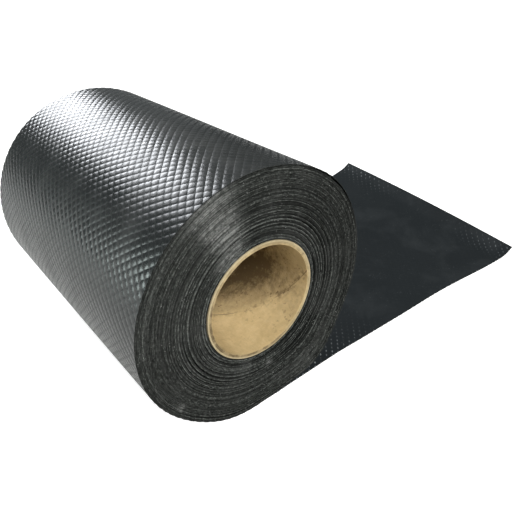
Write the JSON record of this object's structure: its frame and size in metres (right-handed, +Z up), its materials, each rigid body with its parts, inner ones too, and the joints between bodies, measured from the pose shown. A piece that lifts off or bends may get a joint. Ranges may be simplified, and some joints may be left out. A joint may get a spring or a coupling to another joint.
{
  "type": "roll of damp proof course",
  "caption": "Roll of embossed black plastic damp proof course on a cardboard core, lying on its side with the free end of the sheet run out flat and curling up at the cut edge.",
  "frame": {"origin": "on the roll's axis, at the middle of its width", "axes": "+Y along the roll's axis, +X the way the free end runs along the floor, +Z up"},
  "size_m": [0.4182, 0.2313, 0.1744],
  "materials": {
    "membrane": "black polyethylene sheet, embossed on its outer face with crossing diagonal grooves, satin",
    "core": "spirally wound kraft board, matt"
  },
  "bodies": {
    "root": {"membrane": "membrane", "core_tube": "core"}
  },
  "joints": []
}
